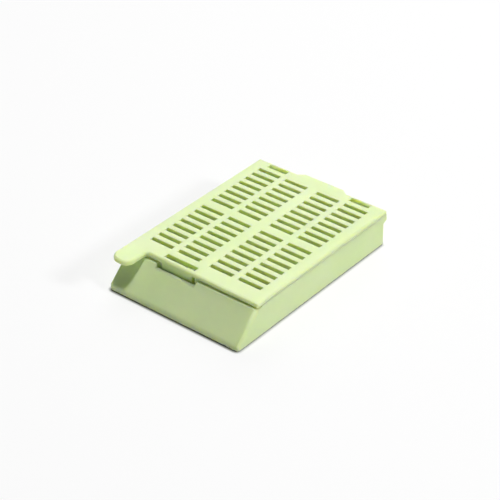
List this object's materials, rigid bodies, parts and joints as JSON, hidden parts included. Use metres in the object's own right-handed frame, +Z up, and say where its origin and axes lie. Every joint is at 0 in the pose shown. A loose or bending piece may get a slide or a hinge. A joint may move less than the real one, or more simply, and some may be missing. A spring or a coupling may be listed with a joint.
{
  "type": "tissue cassette",
  "caption": "Slotted plastic cassette for tissue samples: a shallow tray with a slanted writing panel and a hinged, snap-shut slotted lid.",
  "frame": {"origin": "centre of the overall bounding box at the height of the underside, which rests on z = 0", "axes": "+Z up through the lid, +Y from the slanted writing panel towards the rear hinge, +X to the right seen from the panel, so the thumb tab is at -X"},
  "size_m": [0.0288, 0.0418, 0.0068],
  "materials": {
    "acetal": "satin"
  },
  "bodies": {
    "base": {"base": "acetal"},
    "lid": {"lid": "acetal"}
  },
  "joints": [
    {"name": "lid_hinge", "type": "hinge", "parent": "base", "child": "lid", "pos_m": [0, 0.02028, 0.0059], "axis": [-1, 0, 0], "range_deg": [0, 90]}
  ]
}
